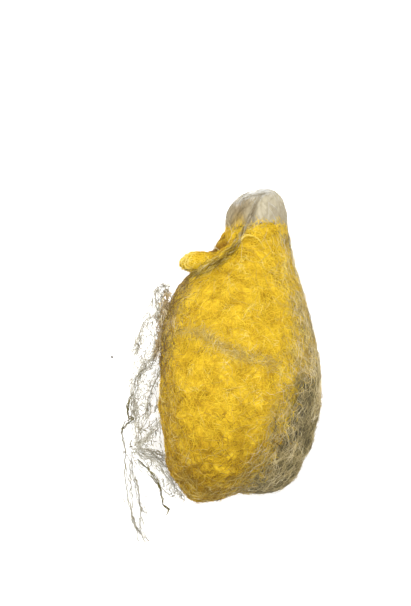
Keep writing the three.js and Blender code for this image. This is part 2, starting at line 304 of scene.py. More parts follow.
class FeltSettings(bpy.types.PropertyGroup):
    """The two dense layers and their relief."""

    voxel: FloatProperty(name="Voxel", description="Size of the faces", default=0.00026, unit="LENGTH")
    lump_size: FloatProperty(name="Lump size", description="Width of a lump", default=0.0024, unit="LENGTH")
    lump_height: FloatProperty(name="Lump height", description="Height of a lump",
                               default=0.0010, unit="LENGTH")
    tuft_size: FloatProperty(name="Tuft size", description="Width of a tuft", default=0.0010, unit="LENGTH")
    tuft_height: FloatProperty(name="Tuft height", description="Height of a tuft",
                               default=0.00026, unit="LENGTH")
    sink: FloatProperty(name="Sink", description="Deepest that the felt lies under its fibres",
                        default=0.001, unit="LENGTH")


class StrandSettings(bpy.types.PropertyGroup):
    """The fibres that lie on the two layers."""

    silk_width: FloatProperty(name="Silk width", description="Thickness of a yellow fibre",
                              default=0.00009, unit="LENGTH")
    floss_width: FloatProperty(name="Floss width", description="Thickness of a floss fibre",
                               default=0.00007, unit="LENGTH")
    density: FloatProperty(name="Density", description="Share of the full number of fibres",
                           default=1.0, min=0.0, max=1.0, subtype="FACTOR")
    seed: IntProperty(name="Seed", description="Changes how the fibres fall", default=0)


class NetSettings(bpy.types.PropertyGroup):
    """The net of loose threads on the left flank."""

    cell: FloatProperty(name="Cell", description="Width of a cell of the net", default=0.0015, unit="LENGTH")
    thread: FloatProperty(name="Thread", description="Thickness of a fine thread",
                          default=0.0001, unit="LENGTH")
    strand: FloatProperty(name="Strand", description="Thickness of a main strand",
                          default=0.00016, unit="LENGTH")
    layers: IntProperty(name="Layers", description="Nets that lie over each other", default=2, min=1)


class StudioSettings(bpy.types.PropertyGroup):
    """The floor, the lamps and the camera."""

    floor_colour: FloatVectorProperty(name="Floor", description="Colour of the floor", size=3,
                                      subtype="COLOR", default=(0.9, 0.9, 0.9))
    floor_glow: FloatProperty(name="Floor glow", description="Light that the floor itself gives off",
                              default=0.3)
    key_power: FloatProperty(name="Key", description="Power of the main lamp", default=1.65, unit="POWER")
    fill: FloatProperty(name="Fill", description="Strength of the light from all round", default=0.80)
    distance: FloatProperty(name="Distance", description="Height of the camera over the cocoon",
                            default=0.4, unit="LENGTH")


class CocoonSettings(bpy.types.PropertyGroup):
    """All that can be set on the cocoon."""

    felt: PointerProperty(type=FeltSettings)
    strands: PointerProperty(type=StrandSettings)
    net: PointerProperty(type=NetSettings)
    studio: PointerProperty(type=StudioSettings)


# ---------------------------------------------------------------- meshes


def new_object(name, mesh):
    piece = bpy.data.objects.new(name, mesh)
    bpy.context.scene.collection.objects.link(piece)
    return piece


def copy_of_node(node, name):
    """A new object with a CAD node's shape, its loose triangles joined."""
    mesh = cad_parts[node].data.copy()
    mesh.materials.clear()
    form = bmesh.new()
    form.from_mesh(mesh)
    bmesh.ops.remove_doubles(form, verts=form.verts, dist=1e-7)
    form.to_mesh(mesh)
    form.free()
    return new_object(name, mesh)


def settle(piece):
    """Turns a piece into the plain mesh that its modifiers make."""
    graph = bpy.context.evaluated_depsgraph_get()
    mesh = bpy.data.meshes.new_from_object(piece.evaluated_get(graph), depsgraph=graph)
    piece.modifiers.clear()
    piece.data = mesh
    mesh.name = piece.name
    return piece


def finished(piece, slot, *nodes):
    """Fixes a piece to the cocoon and hides the nodes that it stands for. The slot is not used."""
    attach(piece, BODY)
    if nodes:
        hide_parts(*nodes)


def places(mesh):
    """The vertices of a mesh, in millimetres."""
    flat = np.empty(len(mesh.vertices) * 3, np.float32)
    mesh.vertices.foreach_get("co", flat)
    return flat.reshape(-1, 3) / MM


def directions(mesh):
    """The normals of a mesh's vertices."""
    flat = np.empty(len(mesh.vertices) * 3, np.float32)
    mesh.vertex_normals.foreach_get("vector", flat)
    return flat.reshape(-1, 3)


def set_values(mesh, name, values, low=0):
    """Keeps a value from low to 1 for each vertex, as an attribute."""
    attribute = mesh.attributes.get(name) or mesh.attributes.new(name, "FLOAT", "POINT")
    attribute.data.foreach_set("value", np.clip(values, low, 1).astype(np.float32))


def remeshed(piece, voxel):
    """Gives a piece small even faces."""
    remesh = piece.modifiers.new("remesh", "REMESH")
    remesh.mode = "VOXEL"
    remesh.voxel_size = voxel


def surface(mesh, faces):
    """A mesh's surface, for rays and distances."""
    return BVHTree.FromPolygons([v.co for v in mesh.vertices], [tuple(face.vertices) for face in faces])


def node_surface(node):
    """A CAD node's surface, for rays and distances."""
    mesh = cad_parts[node].data
    mesh.calc_loop_triangles()
    return surface(mesh, mesh.loop_triangles)


# ---------------------------------------------------------------- zones


def falling(distance, width):
    """1 where a distance is 0, falling off over a width."""
    return np.exp(-((distance / width) ** 2))


def near(points, path, width):
    """1 on a path seen from above, falling off over a width in millimetres."""
    distance = np.full(len(points), np.inf)
    for start, end in zip(path, path[1:]):
        way = np.subtract(end, start)
        share = np.clip((points[:, :2] - start) @ way / (way @ way), 0, 1)
        gap = points[:, :2] - start - share[:, None] * way
        distance = np.minimum(distance, np.linalg.norm(gap, axis=1))
    return falling(distance, width)


def near_spots(points, spots, width):
    """1 on any of the spots, falling off over a width in millimetres."""
    found = np.zeros(len(points))
    for x, y in spots:
        found = np.maximum(found, near(points, [(x, y), (x + 0.1, y)], width))
    return found


def strongest(points, traces):
    """The highest of several traces at each point. A trace is a weight, a path and a width."""
    return np.max([weight * near(points, path, width) for weight, path, width in traces], axis=0)


def summed(points, traces):
    """The sum of several traces at each point."""
    return sum(weight * near(points, path, width) for weight, path, width in traces)


def ramp(values, start, end):
    """0 up to the start, 1 from the end on and smooth between them, upwards or downwards."""
    share = np.clip((values - start) / (end - start), 0, 1)
    return share * share * (3 - 2 * share)


def cloud(points, size, seed=0.0):
    """Soft noise from -1 to 1 with swellings of a size in millimetres."""
    away = Vector((seed, 0, 0))
    return np.array([noise.noise(Vector(p) / size + away) for p in points])


# ---------------------------------------------------------------- node trees


class Tree:
    """A geometry node tree, built node by node."""

    def __init__(self, name, inputs):
        self.group = bpy.data.node_groups.new(name, "GeometryNodeTree")
        self.group.interface.new_socket("Geometry", in_out="INPUT", socket_type="NodeSocketGeometry")
        self.group.interface.new_socket("Geometry", in_out="OUTPUT", socket_type="NodeSocketGeometry")
        for title, kind in inputs.items():
            self.group.interface.new_socket(title, in_out="INPUT", socket_type="NodeSocket" + kind)
        self.given = self.group.nodes.new("NodeGroupInput").outputs

    def add(self, kind, values=None, result=None, **settings):
        """Adds a node with its settings, and numbers or sockets by name on its inputs."""
        node = self.group.nodes.new(kind)
        for title, value in settings.items():
            setattr(node, title, value)
        for title, value in (values or {}).items():
            socket = title if isinstance(title, int) else self.socket(node.inputs, title)
            socket = node.inputs[socket] if isinstance(socket, int) else socket
            if isinstance(value, bpy.types.NodeSocket):
                self.group.links.new(value, socket)
            else:
                socket.default_value = value
        return self.socket(node.outputs, result) if result else node.outputs[0]

    @staticmethod
    def socket(sockets, title):
        """The socket in use that has a title, where several share it."""
        return next(s for s in sockets if s.name == title and s.enabled)

    def maths(self, operation, first, second=0.0, third=0.0):
        values = {0: first, 1: second, 2: third}
        return self.add("ShaderNodeMath", values, operation=operation)

    def vector_maths(self, operation, first, second):
        return self.add("ShaderNodeVectorMath", {0: first, 1: second}, operation=operation)

    def scaled(self, vector, factor):
        node = {"Vector": vector, "Scale": factor}
        return self.add("ShaderNodeVectorMath", node, operation="SCALE")

    def chance(self, low, high, seed):
        """A number of its own for each part of the geometry."""
        return self.add("FunctionNodeRandomValue", {"Min": low, "Max": high, "Seed": seed},
                        "Value", data_type="FLOAT")

    def noise(self, size, offset=0.0, result="Fac", detail=1.0):
        """Noise over the geometry with swellings of a size in metres. offset picks another pattern."""
        values = {"Vector": self.add("GeometryNodeInputPosition"), "W": offset, "Detail": detail,
                  "Scale": self.maths("DIVIDE", 1.0, size)}
        return self.add("ShaderNodeTexNoise", values, result, noise_dimensions="4D")

    def named(self, title):
        """An attribute of the geometry."""
        return self.add("GeometryNodeInputNamedAttribute", {"Name": title}, "Attribute", data_type="FLOAT")

    def stored(self, geometry_in, title, value):
        """The geometry with a value kept on it as an attribute."""
        values = {"Geometry": geometry_in, "Name": title, "Value": value}
        return self.add("GeometryNodeStoreNamedAttribute", values, data_type="FLOAT", domain="POINT")

    def shaded(self, geometry_in, tone):
        """Gives each part of the geometry one of the shades, dark where tone is 0 and light where it is 1."""
        last = self.add("GeometryNodeRealizeInstances", {"Geometry": geometry_in})
        for step in range(SHADE_COUNT):
            chosen = self.maths("GREATER_THAN", tone, step / SHADE_COUNT) if step else True
            last = self.add("GeometryNodeSetMaterial", {"Geometry": last, "Selection": chosen,
                                                        "Material": self.given[f"Shade {step + 1}"]})
        return last

    def end(self, geometry_out):
        self.group.links.new(geometry_out, self.group.nodes.new("NodeGroupOutput").inputs[0])
        return self.group


SHADE_INPUTS = {f"Shade {step + 1}": "Material" for step in range(SHADE_COUNT)}


def relief_tree():
    """Pushes a surface in and out in lumps and tufts, and keeps the height as an attribute."""
    tree = Tree("felt relief", {"Lump Size": "Float", "Lump Height": "Float", "Tuft Size": "Float",
                                "Tuft Height": "Float", "Sink": "Float", "Seed": "Int",
                                "Finish": "Material"})
    lump = tree.maths("SUBTRACT", tree.noise(tree.given["Lump Size"], tree.given["Seed"]), 0.5)
    tuft = tree.maths("SUBTRACT", tree.noise(tree.given["Tuft Size"], tree.given["Seed"], detail=2.0), 0.5)
    height = tree.maths("MULTIPLY_ADD", lump, tree.given["Lump Height"],
                        tree.maths("MULTIPLY", tuft, tree.given["Tuft Height"]))
    height = tree.maths("SUBTRACT", height, tree.maths("MULTIPLY", tree.given["Sink"], tree.named("depth")))
    free = tree.named("free")
    offset = tree.scaled(tree.add("GeometryNodeInputNormal"), tree.maths("MULTIPLY", height, free))
    kept = tree.stored(tree.given["Geometry"], "relief", tree.maths("MULTIPLY_ADD", lump, 1.4, 0.5))
    moved = tree.add("GeometryNodeSetPosition", {"Geometry": kept, "Offset": offset})
    whole = tree.add("GeometryNodeRealizeInstances", {"Geometry": moved})
    return tree.end(tree.add("GeometryNodeSetMaterial", {"Geometry": whole,
                                                         "Material": tree.given["Finish"]}))


def tube(tree, curves, radius):
    """Three-sided tubes along curves, closed at their ends."""
    ring = tree.add("GeometryNodeCurvePrimitiveCircle", {"Resolution": 3, "Radius": 1.0}, "Curve")
    values = {"Curve": curves, "Profile Curve": ring, "Scale": radius, "Fill Caps": True}
    skin = tree.add("GeometryNodeCurveToMesh", values)
    return tree.add("GeometryNodeSetShadeSmooth", {"Geometry": skin})


def along(tree):
    """0 at both ends of a thread and 1 at its middle."""
    share = tree.add("GeometryNodeSplineParameter", result="Factor")
    return tree.maths("MULTIPLY", tree.maths("MULTIPLY", share, tree.maths("SUBTRACT", 1.0, share)), 4.0)


def strand_tree():
    """Lays wavy fibres on a surface, as thick as its attribute cover asks and as light as tone says."""
    tree = Tree("laid strands", {"Density": "Float", "Length": "Float", "Thickness": "Float",
                                 "Waviness": "Float", "Wave Size": "Float", "Lift": "Float",
                                 "Spread": "Float", "Grain": "Vector", "Points": "Int",
                                 "Tone Spread": "Float", "Seed": "Int", **SHADE_INPUTS})
    given = tree.given
    density = tree.maths("MULTIPLY", given["Density"], tree.named("cover"))
    scattered = tree.add("GeometryNodeDistributePointsOnFaces",
                         {"Mesh": given["Geometry"], "Density": density, "Seed": given["Seed"]})
    normal = tree.socket(scattered.node.outputs, "Normal")
    upright = tree.add("FunctionNodeAlignRotationToVector", {"Vector": normal}, axis="Z")
    combed = tree.add("FunctionNodeAlignRotationToVector", {"Rotation": upright, "Vector": given["Grain"]},
                      axis="X", pivot_axis="Z")
    swing = tree.chance(tree.maths("MULTIPLY", given["Spread"], -1.0), given["Spread"], given["Seed"])
    turn = tree.add("FunctionNodeAxisAngleToRotation", {"Axis": (0, 0, 1), "Angle": swing})
    turned = tree.add("FunctionNodeRotateRotation", {"Rotation": combed, "Rotate By": turn},
                      rotation_space="LOCAL")
    tagged = tree.stored(scattered, "strand", tree.chance(0.0, 400.0, 3))
    lightness = tree.maths("MULTIPLY_ADD", tree.chance(-1.0, 1.0, 5), given["Tone Spread"],
                           tree.named("tone"))
    tagged = tree.stored(tagged, "shade", lightness)
    line = tree.add("GeometryNodeCurvePrimitiveLine", {"Start": (-0.5, 0, 0), "End": (0.5, 0, 0)})
    line = tree.add("GeometryNodeResampleCurve", {"Curve": line, "Count": given["Points"]})
    size = tree.maths("MULTIPLY", given["Length"], tree.chance(0.55, 1.3, 9))
    laid = tree.add("GeometryNodeInstanceOnPoints", {"Points": tagged, "Instance": line,
                                                     "Rotation": turned, "Scale": size})
    laid = tree.add("GeometryNodeRealizeInstances", {"Geometry": laid})
    own = tree.named("strand")
    wave = tree.vector_maths("SUBTRACT", tree.noise(given["Wave Size"], own, "Color"), (0.5, 0.5, 0.5))
    wave = tree.scaled(wave, tree.maths("MULTIPLY", given["Waviness"], 2.0))
    bent = tree.add("GeometryNodeSetPosition", {"Geometry": laid, "Offset": wave})
    below = tree.add("GeometryNodeProximity", {0: given["Geometry"]}, "Position", target_element="FACES")
    outward = tree.add("GeometryNodeSampleNearestSurface",
                       {"Mesh": given["Geometry"], "Value": tree.add("GeometryNodeInputNormal"),
                        "Sample Position": below}, "Value", data_type="FLOAT_VECTOR")
    rise = tree.maths("MULTIPLY_ADD", tree.noise(given["Wave Size"], own), 2.4, -0.7)
    rise = tree.maths("MULTIPLY", tree.maths("MULTIPLY", rise, along(tree)), given["Lift"])
    rise = tree.maths("SUBTRACT", rise, tree.maths("MULTIPLY", given["Thickness"], 0.3))
    target = tree.vector_maths("ADD", below, tree.scaled(outward, rise))
    bent = tree.add("GeometryNodeSetPosition", {"Geometry": bent, "Position": target})
    radius = tree.maths("MULTIPLY", given["Thickness"], tree.maths("MULTIPLY_ADD", along(tree), 0.3, 0.2))
    return tree.end(tree.shaded(tube(tree, bent, radius), tree.named("shade")))


def thread_tree():
    """Turns the edges of a graph into crooked threads."""
    tree = Tree("loose threads", {"Thickness": "Float", "Step": "Float", "Jitter": "Float",
                                  "Jitter Size": "Float", "Tone Spread": "Float", "Seed": "Int",
                                  **SHADE_INPUTS})
    given = tree.given
    curves = tree.add("GeometryNodeMeshToCurve", {"Mesh": given["Geometry"]})
    curves = tree.add("GeometryNodeResampleCurve", {"Curve": curves, "Length": given["Step"]}, mode="LENGTH")
    crook = tree.vector_maths("SUBTRACT", tree.noise(given["Jitter Size"], given["Seed"], "Color", 2.0),
                              (0.5, 0.5, 0.5))
    crook = tree.scaled(crook, tree.maths("MULTIPLY", given["Jitter"], 2.0))
    crooked = tree.add("GeometryNodeSetPosition", {"Geometry": curves, "Offset": crook})
    swell = tree.noise(tree.maths("MULTIPLY", given["Jitter Size"], 2.0), given["Seed"])
    radius = tree.maths("MULTIPLY", tree.maths("MULTIPLY", given["Thickness"], swell),
                        tree.maths("MULTIPLY", tree.named("weight"), 2.0))
    tone = tree.maths("MULTIPLY_ADD", tree.maths("SUBTRACT", swell, 0.5), given["Tone Spread"],
                      tree.named("tone"))
    crooked = tree.stored(crooked, "shade", tone)
    return tree.end(tree.shaded(tube(tree, crooked, radius), tree.named("shade")))


def grow(piece, tree, inputs):
    """Runs a tree on a piece with its inputs by name, and keeps the result as a plain mesh."""
    modifier = piece.modifiers.new(tree.name, "NODES")
    modifier.node_group = tree
    for item in tree.interface.items_tree:
        if item.in_out == "INPUT" and item.name in inputs:
            modifier[item.identifier] = inputs[item.name]
    return settle(piece)


def shared_tree(name, make):
    """A tree by its name, made when it is first asked for."""
    return bpy.data.node_groups.get(name) or make()


# ---------------------------------------------------------------- finishes


# Plain silk, and the lightest shade of each palette, which glints.
MATT_SPECULAR = 0.08
MATT_ROUGHNESS = 0.42
GLINT_SPECULAR = 0.7
GLINT_ROUGHNESS = 0.24


def new_material(name, colour, roughness):
    material = bpy.data.materials.new(name)
    material.use_nodes = True
    shader = material.node_tree.nodes["Principled BSDF"]
    shader.inputs["Base Color"].default_value = (*colour, 1)
    shader.inputs["Roughness"].default_value = roughness
    return material


def shades(palette):
    """One plain silk for each colour of a palette, as the inputs of a tree. The lightest one glints."""
    found = {}
    for step, (name, colour) in enumerate(palette.items()):
        glints = step == SHADE_COUNT - 1
        roughness = GLINT_ROUGHNESS if glints else MATT_ROUGHNESS
        silk = bpy.data.materials.get(name) or new_material(name, colour, roughness)
        shader = silk.node_tree.nodes["Principled BSDF"]
        shader.inputs["Specular IOR Level"].default_value = GLINT_SPECULAR if glints else MATT_SPECULAR
        found[f"Shade {step + 1}"] = silk
    return found


class Finish:
    """A material's nodes, built one by one on Object coordinates."""

    def __init__(self, name, roughness):
        self.material = new_material(name, (0.5, 0.5, 0.5), roughness)
        self.nodes = self.material.node_tree.nodes
        self.links = self.material.node_tree.links
        self.shader = self.nodes["Principled BSDF"]
        self.shader.inputs["Specular IOR Level"].default_value = MATT_SPECULAR
        self.place = self.nodes.new("ShaderNodeTexCoord").outputs["Object"]

    def noise(self, size, stretch=(1, 1, 1)):
        """Noise with swellings of a size in metres, drawn out along an axis where stretch is over 1."""
        mapping = self.nodes.new("ShaderNodeMapping")
        mapping.inputs["Scale"].default_value = tuple(1 / (size * s) for s in stretch)
        self.links.new(self.place, mapping.inputs["Vector"])
        texture = self.nodes.new("ShaderNodeTexNoise")
        texture.inputs["Scale"].default_value = 1.0
        texture.inputs["Detail"].default_value = 3.0
        self.links.new(mapping.outputs["Vector"], texture.inputs["Vector"])
        return texture.outputs["Fac"]

    def zone(self, name):
        """One of the values that are kept on the piece's vertices."""
        node = self.nodes.new("ShaderNodeAttribute")
        node.attribute_name = name
        return node.outputs["Fac"]

    def ramp(self, value, stops):
        node = self.nodes.new("ShaderNodeValToRGB")
        band = node.color_ramp
        while len(band.elements) < len(stops):
            band.elements.new(0.5)
        for element, (position, colour) in zip(band.elements, stops):
            element.position = position
            element.color = (*colour, 1)
        self.links.new(value, node.inputs["Fac"])
        return node.outputs["Color"]

    def mix(self, factor, first, second):
        """Two colours mixed. The node's sockets share their names, so they are taken by number."""
        node = self.nodes.new("ShaderNodeMix")
        node.data_type = "RGBA"
        for socket, value in ((node.inputs[0], factor), (node.inputs[6], first), (node.inputs[7], second)):
            if isinstance(value, bpy.types.NodeSocket):
                self.links.new(value, socket)
            else:
                socket.default_value = (*value, 1)
        return node.outputs[2]

    def bump(self, value, depth):
        node = self.nodes.new("ShaderNodeBump")
        node.inputs["Strength"].default_value = 1.0
        node.inputs["Distance"].default_value = depth
        self.links.new(value, node.inputs["Height"])
        self.links.new(node.outputs["Normal"], self.shader.inputs["Normal"])

    def roughness(self, value, low, high):
        node = self.nodes.new("ShaderNodeMapRange")
        node.inputs["To Min"].default_value = low
        node.inputs["To Max"].default_value = high
        self.links.new(value, node.inputs["Value"])
        self.links.new(node.outputs["Result"], self.shader.inputs["Roughness"])

    def colour(self, value):
        """Sets the colour and hands over the finished material."""
        self.links.new(value, self.shader.inputs["Base Color"])
        return self.material


def silk_felt_finish():
    """Dense yellow silk, painted darker than its fibres for shade between them, with painted shade in its
    pits, on its shaded side and in its pocket, and a beige veil in places.
    """
    finish = Finish("yellow silk felt", 0.6)
    mottle = finish.noise(0.0016)
    # Partly the felt's own gold and partly painted shade between the fibres that lie on it.
    gold = finish.ramp(mottle, [(0.32, (0.266, 0.148, 0.004)), (0.5, (0.488, 0.311, 0.009)),
                                (0.66, (0.666, 0.481, 0.033))])
    # Painted shade in the hollows of the relief, darker where the felt lies low.
    pits = finish.ramp(finish.zone("relief"), [(0.25, (0.252, 0.133, 0.003)), (0.6, (0.651, 0.451, 0.022))])
    gold = finish.mix(finish.noise(0.0007), gold, pits)
    # Painted shade: the gold darkens to brown along the shaded flank, in the pocket and where the silk turns
    # downwards.
    gold_in_painted_shade = finish.mix(finish.zone("gloom"), gold, (0.222, 0.126, 0.004))
    beige = finish.ramp(mottle, [(0.35, (0.237, 0.170, 0.059)), (0.65, (0.400, 0.311, 0.126))])
    veiled = finish.mix(finish.zone("haze"), gold_in_painted_shade, beige)
    finish.bump(finish.noise(0.0004), 0.00012)
    finish.roughness(mottle, 0.5, 0.8)
    # Painted shade in the pocket beside the tab darkens the colour to brown.
    return finish.colour(finish.mix(finish.zone("pocket"), veiled, (0.150, 0.062, 0.004)))


def floss_felt_finish():
    """Matted grey-olive floss, and the thin pale wall of the pouch."""
    finish = Finish("matted floss", 0.75)
    mottle = finish.noise(0.0018)
    olive = finish.ramp(mottle, [(0.3, (0.078, 0.063, 0.035)), (0.5, (0.135, 0.110, 0.058)),
                                 (0.68, (0.240, 0.192, 0.096))])
    olive = finish.mix(finish.zone("blobs"), olive, (0.048, 0.044, 0.034))
    olive = finish.mix(finish.zone("yellowing"), olive, (0.385, 0.237, 0.030))
    streak = finish.noise(0.0006, stretch=(1, 5, 1))
    pale = finish.ramp(streak, [(0.3, (0.31, 0.27, 0.18)), (0.7, (0.42, 0.38, 0.28))])
    tan = finish.ramp(mottle, [(0.3, (0.19, 0.145, 0.08)), (0.7, (0.31, 0.255, 0.15))])
    pale = finish.mix(finish.zone("tan"), pale, tan)
    pale = finish.mix(finish.zone("yellowed"), pale, (0.37, 0.25, 0.04))
    # Painted shade in the crease darkens the pale wall, and so do the grey spots.
    pale = finish.mix(finish.zone("crease"), pale, (0.15, 0.126, 0.08))
    pale = finish.mix(finish.zone("rim"), pale, (0.60, 0.59, 0.56))
    finish.bump(finish.noise(0.0005), 0.00008)
    finish.roughness(mottle, 0.6, 0.85)
    return finish.colour(finish.mix(finish.zone("pouch"), olive, pale))


def crumb_finish():
    """Dry brown plant dust."""
    finish = Finish("dry crumb", 0.85)
    grain = finish.noise(0.00025)
    finish.bump(grain, 0.00005)
    return finish.colour(finish.ramp(grain, [(0.35, (0.015, 0.010, 0.006)), (0.7, (0.089, 0.059, 0.030))]))


# ---------------------------------------------------------------- the two dense layers


def felted(node, other, name, voxel):
    """A node's form in small even faces, free to swell except next to the floor and the other node."""
    piece = copy_of_node(node, name)
    remeshed(piece, voxel)
    smooth = piece.modifiers.new("smooth", "SMOOTH")
    smooth.factor = 0.5
    smooth.iterations = 8
    settle(piece)
    points = places(piece.data)
    other_side = node_surface(other)
    gap = np.array([other_side.find_nearest(Vector(p) * MM)[3] / MM for p in points])
    set_values(piece.data, "free", ramp(points[:, 2], *FREE) * ramp(gap, 0.4, 2.0))
    return piece


def swollen(piece, felt, seed, finish, share=1.0):
    """Gives a felt its lumps and tufts, at a share of the set heights."""
    sizes = {"Lump Size": felt.lump_size, "Lump Height": felt.lump_height * share,
             "Tuft Size": felt.tuft_size, "Tuft Height": felt.tuft_height * share,
             "Sink": felt.sink * share, "Seed": seed, "Finish": finish}
    grow(piece, shared_tree("felt relief", relief_tree), sizes)


def silk_zones(points, normals):
    """Where the yellow silk is veiled in beige, and where shade is painted on it: along its shaded flank, in
    the pocket and where it turns downwards.
    """
    above = ramp(normals[:, 2], -0.3, 0.35)
    haze = np.maximum(strongest(points, SILK_VEIL) * above, near_spots(points, GREY_SPOTS, 0.8))
    return haze, np.maximum(summed(points, SILK_PAINTED_SHADE), 0.35 * (1 - above))


class Skin:
    """One closed surface round both layers, with each point's distance to the one and to the other."""

    BRIDGE = 0.25 * MM  # half the widest gap that the skin closes
    VOXEL = 0.3 * MM

    def __init__(self):
        felt = [bpy.data.objects[name].data for name in (FELT, FLOSS)]
        piece = new_object("skin", self.joined(felt))
        self.swell(piece, self.BRIDGE)
        remeshed(piece, self.VOXEL)
        self.swell(piece, -self.BRIDGE)
        self.mesh = settle(piece).data
        bpy.data.objects.remove(piece)
        self.points = places(self.mesh)
        self.normals = directions(self.mesh)
        self.to_silk, self.to_floss = (self.distances(places(mesh)) for mesh in felt)
        self.on_floss = self.to_floss < self.to_silk
        self.surface = surface(self.mesh, self.mesh.polygons)

    @staticmethod
    def swell(piece, depth):
        """Pushes a piece's surface outwards by a depth in metres."""
        displace = piece.modifiers.new("swell", "DISPLACE")
        displace.mid_level = 0
        displace.strength = depth

    @staticmethod
    def joined(meshes):
        """Several meshes as one."""
        corners, faces = [], []
        for mesh in meshes:
            start = len(corners)
            corners += [v.co.copy() for v in mesh.vertices]
            faces += [tuple(start + i for i in p.vertices) for p in mesh.polygons]
        whole = bpy.data.meshes.new("skin")
        whole.from_pydata(corners, [], faces)
        return whole

    def distances(self, others):
        """How far each point is from the nearest of the others, in millimetres."""
        tree = kdtree.KDTree(len(others))
        for index, place in enumerate(others):
            tree.insert(Vector(place), index)
        tree.balance()
        return np.array([tree.find(Vector(p))[2] for p in self.points])

    def top(self, x, y):
        """The skin's point under a place seen from above, or the nearest one beside it."""
        hit = self.surface.ray_cast(Vector((x * MM, y * MM, OVER_ALL)), Vector((0, 0, -1)))[0]
        return hit or self.surface.find_nearest(Vector((x * MM, y * MM, BODY_MIDDLE)))[0]


shared = {}  # the skin, once it is made


def skin():
    """The skin, made when it is first asked for."""
    if "skin" not in shared:
        shared["skin"] = Skin()
    return shared["skin"]


def strands(name, slot, palette, cover, tone, width, spread=math.pi, grain=(0, 1, 0), tone_spread=0.2):
    """Fibres laid on the skin, as one plain mesh. They turn from the grain by the spread at most."""
    mesh = skin().mesh.copy()
    set_values(mesh, "cover", cover * ramp(skin().points[:, 2], *CLEAR))
    set_values(mesh, "tone", tone)
    piece = new_object(name, mesh)
    settings = bpy.context.scene.silk_cocoon.strands
    density, thickness, length, waviness, wave, lift, count, seed = FIBRES[name]
    sizes = {"Density": density * settings.density, "Thickness": thickness * width, "Length": length * MM,
             "Waviness": waviness * MM, "Wave Size": wave * MM, "Lift": lift * MM, "Points": count,
             "Seed": seed + settings.seed, "Spread": spread, "Grain": grain, "Tone Spread": tone_spread}
    grow(piece, shared_tree("laid strands", strand_tree), {**sizes, **shades(palette)})
    finished(piece, slot)


# ---------------------------------------------------------------- operators


class COCOON_OT_silk_felt(bpy.types.Operator):
    """Make the dense yellow body with its folded lip"""

    bl_idname = "cocoon.silk_felt"
    bl_label = "Silk felt"

    def execute(self, context):
        felt = context.scene.silk_cocoon.felt
        piece = felted("inner_cocoon", "outer_floss", FELT, felt.voxel)
        points = places(piece.data)
        haze, gloom = silk_zones(points, directions(piece.data))
        depth = 0.35 + 0.5 * near(points, LEFT_RIM, 3.0) - 0.85 * near(points, TAB_TIP, 1.3)
        set_values(piece.data, "depth", depth + 0.6 * near(points, POCKET, 0.6), -1)
        set_values(piece.data, "haze", haze)
        # Painted shade on the felt: along the shaded flank, in the pocket and where it turns downwards.
        set_values(piece.data, "gloom", gloom)
        # Painted shade in the pocket beside the tab.
        set_values(piece.data, "pocket", near(points, POCKET, 0.6))
        swollen(piece, felt, 3, silk_felt_finish())
        finished(piece, "yellow_silk", "inner_cocoon")
        return {"FINISHED"}


class COCOON_OT_floss_felt(bpy.types.Operator):
    """Make the matted outer layer with the pale pouch"""

    bl_idname = "cocoon.floss_felt"
    bl_label = "Floss felt"

    def execute(self, context):
        felt = context.scene.silk_cocoon.felt
        piece = felted("outer_floss", "inner_cocoon", FLOSS, felt.voxel * 1.1)
        points = places(piece.data)
        set_values(piece.data, "depth", 0.35 - 0.9 * ramp(points[:, 1], *POUCH_SWELL), -1)
        set_values(piece.data, "pouch", ramp(points[:, 1], *POUCH_WALL))
        # Painted shade in the pouch's crease, with the grey spots, which are the floss's own colour.
        crease = 0.8 * near(points, POUCH_CREASE, 0.24) + near_spots(points, GREY_SPOTS, 0.6)
        set_values(piece.data, "crease", crease)
        set_values(piece.data, "blobs", 0.9 * near_spots(points, DARK_BLOBS, 0.7))
        for title, traces in FLOSS_ZONES.items():
            set_values(piece.data, title, summed(points, traces))
        swollen(piece, felt, 11, floss_felt_finish(), 0.6)
        finished(piece, "grey_floss", "outer_floss")
        return {"FINISHED"}


class COCOON_OT_silk_strands(bpy.types.Operator):
    """Lay the yellow fibres on the body"""

    bl_idname = "cocoon.silk_strands"
    bl_label = "Silk strands"

    def execute(self, context):
        width = context.scene.silk_cocoon.strands.silk_width
        on = skin()
        points = on.points
        haze, gloom = silk_zones(points, on.normals)
        reach = np.where(points[:, 1] < POUCH_START, 0.8, 0.45)
        edge = falling(on.to_silk, reach) * (1 - 0.45 * near(points, RIGHT_VEIL, 1.6))
        cover = np.where(on.on_floss, 0.45 * edge, 1 - 0.6 * haze - 0.15 * near(points, FILM_EDGE, 1.2))
        cover *= 1 - 0.75 * near(points, RIGHT_EDGE, 1.4)
        bare = np.maximum(near(points, FOLD_LINE, 0.45), near(points, POCKET, 0.8))
        cover *= 1 - 0.85 * np.maximum(bare, near_spots(points, GREY_SPOTS, 0.85))
        cover *= 1 - 0.7 * near(points, POUCH_YELLOW, 0.8) * on.on_floss
        # The yellow fibres' tone: random, with painted light and painted shade added along the paths.
        tone = 0.46 + 0.22 * cloud(points, 1.9) + 0.24 * cloud(points, 0.7, 9)
        tone += summed(points, SILK_PAINTED_LIGHT_AND_VEIL) - 0.34 * gloom - 0.18 * ramp(points[:, 1], *BLUNT_END_SHADE)
        for layer, lighter in (("deep", -0.06), ("fine", 0.02), ("soft", 0.06)):
            strands(f"silk_strands_{layer}", "yellow_silk", SILK_SHADES, cover, tone + lighter, width)
        return {"FINISHED"}


